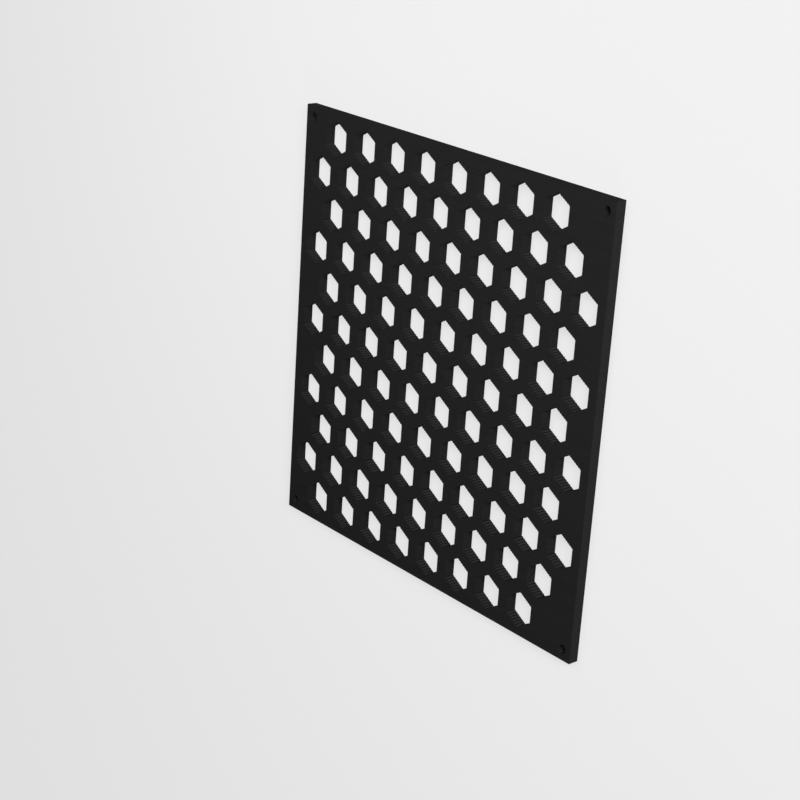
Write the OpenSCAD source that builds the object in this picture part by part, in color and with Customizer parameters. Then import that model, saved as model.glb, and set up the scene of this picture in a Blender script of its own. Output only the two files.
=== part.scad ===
// Honeycomb cover panel: one flat plate, pierced by staggered rows of hexagonal cells,
// with a plain screw hole in each corner. All sizes are in millimetres.
//
// The plate lies on its back face. The origin is the middle of that face, +X runs along
// the rows of cells, +Y across them and +Z out of the front face.

/* [Plate] */
// Width of the plate, along the rows of cells
panel_w = 118; // [60:1:240]
// Height of the plate, across the rows of cells
panel_h = 120; // [60:1:240]
// Thickness of the plate
panel_t = 3; // [1:0.5:8]

/* [Honeycomb] */
// Width of a cell across its flats
cell_flats = 8.6; // [4:0.1:16]
// Width of the web between two neighbouring cells
web = 3.6; // [1:0.1:8]
// Least width of the solid border round the honeycomb
border = 2; // [1:0.5:10]

/* [Screw holes] */
// Diameter of a corner screw hole
screw_d = 2.5; // [1.5:0.1:6]
// Width of plate left between a screw hole and the plate's edges
screw_edge = 1.75; // [1:0.25:6]
// Least width of plate left between a screw hole and a cell
screw_land = 2; // [1:0.5:6]

/* [Hidden] */

// A cell has a corner at its top and bottom, and flats at its left and right.
hexagon_sides = 6;
cell_corner_r = cell_flats / 2 / cos(180 / hexagon_sides);
pitch = cell_flats + web;
row_step = pitch * sin(60);

// The honeycomb has as many cells as the border leaves room for. Each row is shifted by
// half a pitch against the next, so the rows together are half a pitch wider than one row.
columns = floor((panel_w - 2 * border - cell_flats - pitch / 2) / pitch) + 1;
rows = floor((panel_h - 2 * border - 2 * cell_corner_r) / row_step) + 1;

screw_inset = screw_edge + screw_d / 2;
screw_x = panel_w / 2 - screw_inset;
screw_y = panel_h / 2 - screw_inset;

// How far a cutting tool reaches past each face of the plate.
cut_past = 1;
round_sides = 64;

// Middle of a cell. Row 0 is at the top, and every other row from there is shifted right.
function cell_x(row, column) =
    (column - (columns - 1) / 2) * pitch + (row % 2 == 0 ? 1 : -1) * pitch / 4;
function cell_y(row) = ((rows - 1) / 2 - row) * row_step;

// The screw hole of the corner in which a cell lies is the one nearest to it.
function gap_to_screw(x, y) =
    norm([screw_x - abs(x), screw_y - abs(y)]) - cell_corner_r - screw_d / 2;

module plate() {
    translate([-panel_w / 2, -panel_h / 2, 0])
        cube([panel_w, panel_h, panel_t]);
}

module cell_cutter() {
    translate([0, 0, -cut_past])
        rotate(180 / hexagon_sides)
            cylinder(r = cell_corner_r, h = panel_t + 2 * cut_past, $fn = hexagon_sides);
}

// Every cell of the staggered rows, apart from those that would crowd a screw hole.
module honeycomb_cutter() {
    for (row = [0 : rows - 1], column = [0 : columns - 1]) {
        x = cell_x(row, column);
        y = cell_y(row);
        if (gap_to_screw(x, y) >= screw_land)
            translate([x, y, 0])
                cell_cutter();
    }
}

module screw_hole_cutter() {
    for (side_x = [-1, 1], side_y = [-1, 1])
        translate([side_x * screw_x, side_y * screw_y, -cut_past])
            cylinder(d = screw_d, h = panel_t + 2 * cut_past, $fn = round_sides);
}

module panel() {
    color("#1d1d1f")
        difference() {
            plate();
            honeycomb_cutter();
            screw_hole_cutter();
        }
}

panel();
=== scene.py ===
# %% [markdown]
# # A printed honeycomb panel
# The object is a flat black cover panel, printed in plastic, with staggered rows of hexagonal
# cells and a screw hole in each corner. Its sizes are settled in a solid model, which is loaded
# here as a fixed frame. Blender then gives the panel what the solid leaves out: the fine layers
# that a printer lays down, and the dull black of the plastic.

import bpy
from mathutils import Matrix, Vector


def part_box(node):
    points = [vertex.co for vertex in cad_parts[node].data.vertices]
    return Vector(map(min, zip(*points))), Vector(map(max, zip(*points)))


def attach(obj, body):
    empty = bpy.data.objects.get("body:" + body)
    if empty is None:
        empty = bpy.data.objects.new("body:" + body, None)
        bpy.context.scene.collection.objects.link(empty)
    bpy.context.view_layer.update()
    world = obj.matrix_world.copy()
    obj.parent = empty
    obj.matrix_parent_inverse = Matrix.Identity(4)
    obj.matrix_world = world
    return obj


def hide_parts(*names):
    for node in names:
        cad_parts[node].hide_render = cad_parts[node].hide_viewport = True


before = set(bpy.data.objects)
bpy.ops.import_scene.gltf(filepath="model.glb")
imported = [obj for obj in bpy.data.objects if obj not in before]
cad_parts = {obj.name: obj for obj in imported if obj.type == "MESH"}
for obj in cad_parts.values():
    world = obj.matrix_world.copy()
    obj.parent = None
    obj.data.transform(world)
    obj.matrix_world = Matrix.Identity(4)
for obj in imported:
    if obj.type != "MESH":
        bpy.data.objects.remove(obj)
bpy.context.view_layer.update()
low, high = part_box("panel")
panel_size = high - low
print("solid panel, metres:", [round(side, 4) for side in panel_size])

# %% [markdown]
# ## The camera
# A picture is only comparable with another one if both are taken from the same place. The panel
# could be centred in the view and turned by eye, but its rows of like cells show every degree of
# error. So the camera gets a place, a point to look at, a lens and a roll. The picture's upward
# direction is the panel's own +Y, because the panel is seen as if it stood on its lower edge.

# %% Place the camera
import bpy
from math import radians
from mathutils import Matrix, Vector

MM = 0.001
scene = bpy.context.scene
scene.view_settings.view_transform = "Standard"

camera_eye = Vector((348.1, 163.1, 318.4)) * MM
camera_aim = Vector((-12.3, -11.8, 3.0)) * MM
camera_lens_mm = 84.92
camera_roll = radians(3.85)
panel_up = Vector((0, 1, 0))


def looking(eye, aim, up, roll=0.0):
    """The matrix of a camera or lamp at eye that looks at aim, turned by roll about its view."""
    back = (eye - aim).normalized()
    right = up.cross(back).normalized()
    upright = Matrix((right, back.cross(right), back)).transposed()
    return Matrix.Translation(eye) @ (upright @ Matrix.Rotation(roll, 3, "Z")).to_4x4()


camera_data = bpy.data.cameras.new("camera")
camera_data.lens = camera_lens_mm
camera = bpy.data.objects.new("camera", camera_data)
camera.matrix_world = looking(camera_eye, camera_aim, panel_up, camera_roll)
scene.collection.objects.link(camera)
scene.camera = camera
print("camera distance, metres:", round((camera_eye - camera_aim).length, 3))

# %% [markdown]
# ## The floor
# The panel lies on a pale studio floor. A plain plane would do for one picture, but a low view
# would look past its edge. So a profile is spun round the middle: it runs flat and then sweeps
# up like a sheet of backdrop paper, and no horizon shows from any side.

# %% Draw the floor's profile
from math import cos, sin

floor_radius = 3.0
sweep_radius = 0.9
sweep_angle = radians(75)
sweep_steps = 16

profile = [(0.0, 0.0), (floor_radius, 0.0)]
for step in range(1, sweep_steps + 1):
    angle = sweep_angle * step / sweep_steps
    profile.append((floor_radius + sweep_radius * sin(angle), sweep_radius * (1 - cos(angle))))
print("points in the profile:", len(profile), "rising to", round(profile[-1][1], 3), "metres")

# %% Spin the profile into a floor
import bmesh
from math import pi

spin_steps = 96
floor_drop = 0.01 * MM
same_point = 0.01 * MM
plumb = Vector((0, 0, 1))

shape = bmesh.new()
points = [shape.verts.new((r, 0, z + low.z - floor_drop)) for r, z in profile]
edges = [shape.edges.new(pair) for pair in zip(points, points[1:])]
bmesh.ops.spin(shape, geom=points + edges, axis=plumb, cent=(0, 0, 0),
               angle=2 * pi, steps=spin_steps, use_duplicate=False)
bmesh.ops.remove_doubles(shape, verts=shape.verts, dist=same_point)
bmesh.ops.recalc_face_normals(shape, faces=shape.faces)
for face in shape.faces:
    face.smooth = True
floor_mesh = bpy.data.meshes.new("floor")
shape.to_mesh(floor_mesh)
shape.free()
floor = bpy.data.objects.new("floor", floor_mesh)
scene.collection.objects.link(floor)
print("floor faces:", len(floor_mesh.polygons))

# %% [markdown]
# ## The floor's paper
# Backdrop paper is pale grey and quite dull. If it were lit until it looked pale, the black panel
# would be lit too much. Instead, part of its paleness is its own glow, which shows only to the
# camera, in mirror-like reflections and through glass. The rest is ordinary diffuse paper, so the
# panel keeps its shadow.

# %% Mix dull paper with a glow
paper_colour = (0.80, 0.80, 0.80, 1)
paper_glow = (0.86, 0.86, 0.86, 1)


def empty_material(name):
    """A new node material with no nodes in it yet, its nodes and its links."""
    made = bpy.data.materials.new(name)
    made.use_nodes = True
    made.node_tree.nodes.clear()
    return made, made.node_tree.nodes, made.node_tree.links


paper, nodes, links = empty_material("backdrop_paper")
dull = nodes.new("ShaderNodeBsdfDiffuse")
dull.inputs["Color"].default_value = paper_colour
glow = nodes.new("ShaderNodeEmission")
glow.inputs["Color"].default_value = paper_glow
mix = nodes.new("ShaderNodeMixShader")
output = nodes.new("ShaderNodeOutputMaterial")
links.new(dull.outputs[0], mix.inputs[1])
links.new(glow.outputs[0], mix.inputs[2])
links.new(mix.outputs[0], output.inputs["Surface"])
floor_mesh.materials.append(paper)
print("the floor is made of", floor_mesh.materials[0].name)

# %% Keep the glow off the panel
paper_glow_share = 0.80


def math_node(nodes, operation):
    """A new node that works out one value from one or two others."""
    made = nodes.new("ShaderNodeMath")
    made.operation = operation
    return made


ray = nodes.new("ShaderNodeLightPath")
camera_or_mirror = math_node(nodes, "MAXIMUM")
seen_directly = math_node(nodes, "MAXIMUM")
share = math_node(nodes, "MULTIPLY")
share.inputs[1].default_value = paper_glow_share
links.new(ray.outputs["Is Camera Ray"], camera_or_mirror.inputs[0])
links.new(ray.outputs["Is Glossy Ray"], camera_or_mirror.inputs[1])
links.new(camera_or_mirror.outputs[0], seen_directly.inputs[0])
links.new(ray.outputs["Is Transmission Ray"], seen_directly.inputs[1])
links.new(seen_directly.outputs[0], share.inputs[0])
links.new(share.outputs[0], mix.inputs["Fac"])
print("paper nodes:", len(nodes), "glow share:", paper_glow_share)

# %% [markdown]
# ## The light
# A black object needs light that separates its faces. One lamp overhead would light the front most
# and leave the edges and the cell walls darker. Here a dim room lights everything a little, and a
# soft key lamp stands off the right edge, low over the front face. It strikes the right edge and
# the lower left wall of each cell more squarely than the front, so they come out lighter. A small
# lamp near the upper edge makes the front fade gently downwards, and a low fill lamp, far off the
# lower edge, keeps the upper corners of the cells from going black.

# %% Set the room
room_colour = (1, 1, 1, 1)
room_light = 0.08

world = bpy.data.worlds.new("room")
world.use_nodes = True
background = world.node_tree.nodes["Background"]
background.inputs["Color"].default_value = room_colour
background.inputs["Strength"].default_value = room_light
scene.world = world
print("strength of the room's light:", room_light)

# %% Hang the three lamps
lamp_plan = {
    "key_lamp": {"place": (0.52, 0.305, 0.32), "width": 0.28, "watts": 5.4},
    "upper_lamp": {"place": (-0.045, 0.13, 0.20), "width": 0.12, "watts": 0.24},
    "fill_lamp": {"place": (1.07, -1.85, 0.53), "width": 0.40, "watts": 11.0},
}
lamp_aim = (low + high) / 2

for name, plan in lamp_plan.items():
    lamp_place = Vector(plan["place"])
    lamp_data = bpy.data.lights.new(name, "AREA")
    lamp_data.size = plan["width"]
    lamp_data.energy = plan["watts"]
    lamp = bpy.data.objects.new(name, lamp_data)
    lamp.matrix_world = looking(lamp_place, lamp_aim, plumb)
    lamp.visible_camera = False
    scene.collection.objects.link(lamp)
    print(name, "at", round((lamp_place - lamp_aim).length, 2), "metres")

# %% [markdown]
# ## Slicing the panel
# The real panel was printed standing on its lower edge, so its layers run along the rows of cells.
# On upright walls the layers hardly show, but a slanted cell wall comes out in tiny ledges. A bump
# map could shade such ledges without making them. Slicing makes them: rays are sent through the
# solid along a row, and the places where they enter and leave it are the ends of the runs of plastic
# that the printer lays at that height. The panel is the same all the way through, so every ray runs
# at one depth.

# %% Wrap the solid in a skin that rays can meet
from mathutils.bvhtree import BVHTree

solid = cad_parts["panel"].data
solid_points = [vertex.co for vertex in solid.vertices]
solid_faces = [polygon.vertices[:] for polygon in solid.polygons]
skin = BVHTree.FromPolygons(solid_points, solid_faces)
print("faces in the skin:", len(solid_faces))

# %% Cast a ray along a row
slice_share = 0.37
slice_depth = low.z + slice_share * panel_size.z
ray_margin = 1.0 * MM
ray_step = 0.001 * MM
whole_micrometres = 6
along_row = Vector((1, 0, 0))


def crossings(y):
    """Every x at which a ray along the row at this height meets the skin of the solid."""
    found = []
    start = Vector((low.x - ray_margin, y, slice_depth))
    place = skin.ray_cast(start, along_row)[0]
    while place is not None:
        found.append(round(place.x, whole_micrometres))
        start.x = place.x + ray_step
        place = skin.ray_cast(start, along_row)[0]
    return found


half_way = (low.y + high.y) / 2
print("crossings half-way up:", len(crossings(half_way)))

# %% Join the crossings into runs of plastic
smallest_gap = 0.2 * MM


def plastic_runs(y):
    """Where plastic starts and ends along the row at this height. Molten plastic bridges a tiny gap."""
    met = crossings(y)
    runs = []
    for start, end in zip(met[::2], met[1::2]):
        if runs and start - runs[-1][1] < smallest_gap:
            runs[-1] = (runs[-1][0], end)
        else:
            runs.append((start, end))
    return runs


print("runs of plastic half-way up:", len(plastic_runs(half_way)))

# %% [markdown]
# ## The foot and the head of a layer
# Each layer needs its outline twice, near its foot and near its head, so that its ends can slope as
# the cell walls do. A cell starts or ends inside some layer, and then only one of the two outlines
# has a gap there. The other outline gets a slit in that place, as narrow as the slope of the walls
# asks for, and the cell narrows to it.

# %% Size the layers
from math import tan

layer_count = 280
layer_height = panel_size.y / layer_count
ledge_share = 0.50
flattest_wall = radians(30)
slope_height = (1 - ledge_share) * layer_height
narrowing = 2 * slope_height / tan(flattest_wall)
print("layers:", layer_count, "of", round(layer_height / MM, 3), "mm,",
      "a cell narrows in one by", round(narrowing / MM, 3), "mm")

# %% Pair the outlines of each layer


def slit_like(runs, other):
    """These runs, with a slit wherever the other runs have a gap that these ones bridge."""
    cut = []
    for start, end in runs:
        for (_, gap_start), (gap_end, _) in zip(other, other[1:]):
            if start < gap_start and gap_end < end:
                middle = (gap_start + gap_end) / 2
                half_slit = max(gap_end - gap_start - narrowing, smallest_gap) / 2
                cut.append((start, middle - half_slit))
                start = middle + half_slit
        cut.append((start, end))
    return cut


layers = []
for number in range(layer_count):
    middle_y = low.y + (number + 0.5) * layer_height
    foot = plastic_runs(middle_y - slope_height / 2)
    head = plastic_runs(middle_y + slope_height / 2)
    layers.append((slit_like(foot, head), slit_like(head, foot)))
print("runs of plastic:", sum(len(foot) for foot, head in layers),
      "paired:", all(len(foot) == len(head) for foot, head in layers))

# %% [markdown]
# ## The seams between layers
# A bead of plastic bulges a little, so a shallow groove is left where two layers meet. Modelling
# each bead as a round tube would take far too many faces, and all but a sliver of it would lie
# inside. Here each layer has four outlines instead: a full one near its foot, a full one near its
# head, and a slightly smaller one in the seam above and below, which it shares with its neighbour.

# %% Find the breaks in every seam
groove_depth = 0.02 * MM
seam_digits = 8


def narrowed(runs):
    """The runs as they are in a seam, where the groove takes a little off both ends."""
    return [(round(start + groove_depth, seam_digits), round(end - groove_depth, seam_digits))
            for start, end in runs]


feet = [narrowed(foot) for foot, head in layers]
heads = [narrowed(head) for foot, head in layers]
under_seam = [[]] + heads
over_seam = feet + [[]]
seam_breaks = [sorted({x for run in under + over for x in run})
               for under, over in zip(under_seam, over_seam)]
print("seams:", len(seam_breaks), "ends of runs on them:", sum(len(b) for b in seam_breaks))

# %% [markdown]
# ## The outlines of each layer
# An outline is a back edge and a front edge, which both run from left to right. In a seam an edge
# needs a vertex wherever the layer above or below starts or ends a run, or the mesh would have cracks
# too fine to see. Between its seams a bead has its full width, less a hair that differs from layer to
# layer. Noise on every vertex would roughen the walls evenly, but a printer's error is one for each
# layer, so each layer draws one random number, always from the same seed.

# %% Outline a run in a seam
vertices = []
seam_corners = {}


def add_vertex(x, y, z):
    """The number of a new vertex."""
    vertices.append((x, y, z))
    return len(vertices) - 1


def seam_corner(seam, x):
    """The back and front vertices at x in a seam. Both layers that meet there use the same two."""
    if (seam, x) not in seam_corners:
        y = low.y + seam * layer_height
        back = add_vertex(x, y, low.z + groove_depth)
        front = add_vertex(x, y, high.z - groove_depth)
        seam_corners[seam, x] = (back, front)
    return seam_corners[seam, x]


def outline_in_seam(seam, run):
    """The back and front edges of a run in a seam, with every break on them."""
    pairs = [seam_corner(seam, x) for x in seam_breaks[seam] if run[0] <= x <= run[1]]
    return [pair[0] for pair in pairs], [pair[1] for pair in pairs]


print("most breaks in one seam:", max(len(breaks) for breaks in seam_breaks))

# %% Outline every bead
import random

groove_half_width = 0.05 * MM
bead_wobble = 0.008 * MM
wobble_seed = 280
slanted_by = 0.05 * MM
wobble = random.Random(wobble_seed)


def outline_of_bead(y, run, inset):
    """The back and front edges of a run between two seams, set in by the layer's own error."""
    ends = (run[0] + inset, run[1] - inset)
    back = [add_vertex(x, y, low.z + inset) for x in ends]
    front = [add_vertex(x, y, high.z - inset) for x in ends]
    return back, front


beads = []
for number, layer in enumerate(layers):
    foot_y = low.y + number * layer_height
    inset = bead_wobble * wobble.random()
    for foot, head, foot_in_seam, head_in_seam in zip(*layer, feet[number], heads[number]):
        outlines = (
            outline_in_seam(number, foot_in_seam),
            outline_of_bead(foot_y + groove_half_width, foot, inset),
            outline_of_bead(foot_y + layer_height - groove_half_width, head, inset),
            outline_in_seam(number + 1, head_in_seam),
        )
        slanted_ends = [abs(a - b) > slanted_by for a, b in zip(foot, head)]
        beads.append((outlines, slanted_ends))
print("beads:", len(beads), "vertices:", len(vertices))

# %% [markdown]
# ## The walls of each layer
# Between one outline and the next lie four walls: front, right, back and left. Blender can bridge two
# edge loops by itself, but only where both have as many vertices. Here an edge in a seam may have
# more, and then the wall is filled as a fan of triangles. Each face also notes a tone: on a slanted
# end the rim of a layer gets a painted highlight, a paler black.

# %% Fill one wall
plain_tone = 0.0

faces = []
tones = []


def add_face(corners, tone):
    """Keeps a new face and its tone: none, a painted highlight or painted shade."""
    faces.append(corners)
    tones.append(tone)


def fill_wall(lower, upper, tone=plain_tone):
    """A wall between two edges that run the same way: a quad, or a fan if an edge has breaks."""
    if len(lower) == len(upper) == 2:
        add_face((lower[0], lower[1], upper[1], upper[0]), tone)
    elif len(upper) == 2:
        for a, b in zip(lower, lower[1:]):
            add_face((a, b, upper[0]), tone)
        add_face((lower[-1], upper[1], upper[0]), tone)
    else:
        add_face((lower[0], lower[1], upper[-1]), tone)
        for a, b in zip(upper, upper[1:]):
            add_face((lower[0], b, a), tone)


print("tone of a plain wall:", plain_tone)

# %% Build the walls of every bead
# The rims of slanted ends are painted paler: a painted highlight for the light they catch.
painted_rim_highlight = 0.46


def fill_around(lower, upper, end_tones=(plain_tone, plain_tone)):
    """The four walls between one outline and the next one up."""
    lower_back, lower_front = lower
    upper_back, upper_front = upper
    left_tone, right_tone = end_tones
    fill_wall(lower_front, upper_front)
    fill_wall(lower_back[::-1], upper_back[::-1])
    fill_wall([lower_front[-1], lower_back[-1]], [upper_front[-1], upper_back[-1]], right_tone)
    fill_wall([lower_back[0], lower_front[0]], [upper_back[0], upper_front[0]], left_tone)


for (bottom, bead_foot, bead_head, top), slanted_ends in beads:
    fill_around(bottom, bead_foot)
    fill_around(bead_foot, bead_head, [painted_rim_highlight if slanted else plain_tone for slanted in slanted_ends])
    fill_around(bead_head, top)
print("wall faces:", len(faces), "rims:", tones.count(painted_rim_highlight))

# %% [markdown]
# ## The ledges
# Where a layer reaches further than its neighbour, a strip of its top or underside stays open.
# On the real panel these strips are the ledges that stripe the slanted cell walls, and the outer
# faces of the first and the last layer are the panel's lower and upper edge. Caps over whole layers
# would close the mesh too, but they would also leave faces inside it. Each strip is painted a deeper
# black, as painted shade.

# %% Close the open strips
# The ledges are painted a deeper black: painted shade in the corners of the layers.
painted_ledge_shade = -0.50


def holds(runs, x):
    """Whether there is plastic at x."""
    return any(start < x < end for start, end in runs)


wall_count = len(faces)
for seam, breaks in enumerate(seam_breaks):
    for left, right in zip(breaks, breaks[1:]):
        middle = (left + right) / 2
        under = holds(under_seam[seam], middle)
        over = holds(over_seam[seam], middle)
        if under == over:
            continue
        left_back, left_front = seam_corner(seam, left)
        right_back, right_front = seam_corner(seam, right)
        ledge = (left_front, right_front, right_back, left_back)
        add_face(ledge if under else ledge[::-1], painted_ledge_shade)
print("ledges:", len(faces) - wall_count)

# %% [markdown]
# ## The panel as one closed mesh
# A printed part is one lump of plastic, so its mesh is one closed skin, in which every edge joins
# exactly two faces. That is measured here, along with the volume, which should be close to that of
# the smooth solid.

# %% Make the panel
panel_mesh = bpy.data.meshes.new("printed_panel")
panel_mesh.from_pydata(vertices, [], faces)
# Each face keeps its painted highlight (rims) or painted shade (ledges) as an attribute.
panel_mesh.attributes.new("painted_rim_and_ledge_shade", "FLOAT", "FACE").data.foreach_set("value", tones)
panel_mesh.validate()
panel = bpy.data.objects.new("printed_panel", panel_mesh)
scene.collection.objects.link(panel)
print("panel vertices:", len(panel_mesh.vertices), "faces:", len(panel_mesh.polygons))

# %% Measure the panel
cm3_per_m3 = 1e6

check = bmesh.new()
check.from_mesh(panel_mesh)
open_edges = sum(len(edge.link_faces) != 2 for edge in check.edges)
triangles = sum(len(face.verts) - 2 for face in check.faces)
volume_cm3 = check.calc_volume(signed=True) * cm3_per_m3
check.free()
print("triangles:", triangles, "edges without two faces:", open_edges,
      "volume:", round(volume_cm3, 3), "cm3")

# %% [markdown]
# ## The tones of the layers
# No two printed layers are quite alike: each cools a little differently, and along a layer the flow
# of plastic rises and falls. A painted texture could show that, but it would need an unwrapped mesh.
# Two noises need none. One is stretched into long streaks along the layers, and the other draws one
# value for each whole layer.

# %% Stretch a noise into streaks
streak_length = 14.0 * MM
streak_height = 0.9 * MM
streak_scale = 1.0
streak_detail = 3.0

plastic, nodes, links = empty_material("black_plastic")
where = nodes.new("ShaderNodeTexCoord")
stretch = nodes.new("ShaderNodeMapping")
stretch.inputs["Scale"].default_value = (1 / streak_length, 1 / streak_height, 1 / streak_length)
streaks = nodes.new("ShaderNodeTexNoise")
streaks.inputs["Scale"].default_value = streak_scale
streaks.inputs["Detail"].default_value = streak_detail
links.new(where.outputs["Object"], stretch.inputs["Vector"])
links.new(stretch.outputs["Vector"], streaks.inputs["Vector"])
print("a streak's length is", round(streak_length / streak_height, 1), "times its height")

# %% Draw one tone for each layer and mix it in
layer_tone_share = 0.45

axes = nodes.new("ShaderNodeSeparateXYZ")
layer_number = math_node(nodes, "DIVIDE")
layer_number.inputs[1].default_value = layer_height
whole_layer = math_node(nodes, "FLOOR")
layer_tone = nodes.new("ShaderNodeTexWhiteNoise")
layer_tone.noise_dimensions = "1D"
links.new(where.outputs["Object"], axes.inputs[0])
links.new(axes.outputs["Y"], layer_number.inputs[0])
links.new(layer_number.outputs[0], whole_layer.inputs[0])
links.new(whole_layer.outputs[0], layer_tone.inputs["W"])

tone = nodes.new("ShaderNodeMix")
tone.inputs["Factor"].default_value = layer_tone_share
links.new(streaks.outputs["Fac"], tone.inputs["A"])
links.new(layer_tone.outputs["Value"], tone.inputs["B"])
print("nodes that make the tones:", len(nodes))

# %% [markdown]
# ## The black of the plastic
# The plastic is black right through. One flat colour would look like paint. Here the tones pick a
# black between a deep one and a lighter one, and the painted shading that each face notes moves it
# up on the rims, as a painted highlight, and down on the ledges, as painted shade.

# %% Colour the plastic
plastic_dark = (0.0080, 0.0080, 0.0082, 1)
plastic_light = (0.0210, 0.0210, 0.0215, 1)
usual_tones = (0.38, 0.62)

usual = nodes.new("ShaderNodeMapRange")
usual.inputs["To Min"].default_value = usual_tones[0]
usual.inputs["To Max"].default_value = usual_tones[1]
# The painted highlight on the rims and painted shade on the ledges move the black up and down.
painted_shading = nodes.new("ShaderNodeAttribute")
painted_shading.attribute_name = "painted_rim_and_ledge_shade"
tone_plus_painted_shading = math_node(nodes, "ADD")
links.new(tone.outputs["Result"], usual.inputs["Value"])
links.new(usual.outputs["Result"], tone_plus_painted_shading.inputs[0])
links.new(painted_shading.outputs["Fac"], tone_plus_painted_shading.inputs[1])

colour = nodes.new("ShaderNodeMix")
colour.data_type = "RGBA"
colour.inputs["A"].default_value = plastic_dark
colour.inputs["B"].default_value = plastic_light
links.new(tone_plus_painted_shading.outputs[0], colour.inputs["Factor"])
print("blacks from", plastic_dark[:3], "to", plastic_light[:3])

# %% [markdown]
# ## The dull skin
# A printed skin is dull, and a fine grain breaks up what little shine it has. The grain could be
# modelled, but at a tenth of a millimetre it would take millions of faces, so it is a bump. The same
# tones that pick the black also make one layer a little duller than the next.

# %% Grain the skin
grain_size = 0.12 * MM
grain_detail = 2.0
grain_depth = 0.012 * MM
grain_strength = 0.35

grain = nodes.new("ShaderNodeTexNoise")
grain.inputs["Scale"].default_value = 1 / grain_size
grain.inputs["Detail"].default_value = grain_detail
bump = nodes.new("ShaderNodeBump")
bump.inputs["Strength"].default_value = grain_strength
bump.inputs["Distance"].default_value = grain_depth
links.new(where.outputs["Object"], grain.inputs["Vector"])
links.new(grain.outputs["Fac"], bump.inputs["Height"])
print("grains along the panel's width:", round(panel_size.x / grain_size))

# %% Finish the plastic
shine = 0.025
dull_roughness = (0.78, 0.92)

dullness = nodes.new("ShaderNodeMapRange")
dullness.inputs["To Min"].default_value = dull_roughness[0]
dullness.inputs["To Max"].default_value = dull_roughness[1]
surface = nodes.new("ShaderNodeBsdfPrincipled")
surface.inputs["Specular IOR Level"].default_value = shine
output = nodes.new("ShaderNodeOutputMaterial")
links.new(tone.outputs["Result"], dullness.inputs["Value"])
links.new(colour.outputs["Result"], surface.inputs["Base Color"])
links.new(dullness.outputs["Result"], surface.inputs["Roughness"])
links.new(bump.outputs["Normal"], surface.inputs["Normal"])
links.new(surface.outputs["BSDF"], output.inputs["Surface"])
panel_mesh.materials.append(plastic)
print("plastic nodes:", len(nodes))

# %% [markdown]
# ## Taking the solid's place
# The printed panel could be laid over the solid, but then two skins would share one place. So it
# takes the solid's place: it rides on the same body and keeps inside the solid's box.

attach(panel, "root")
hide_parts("panel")
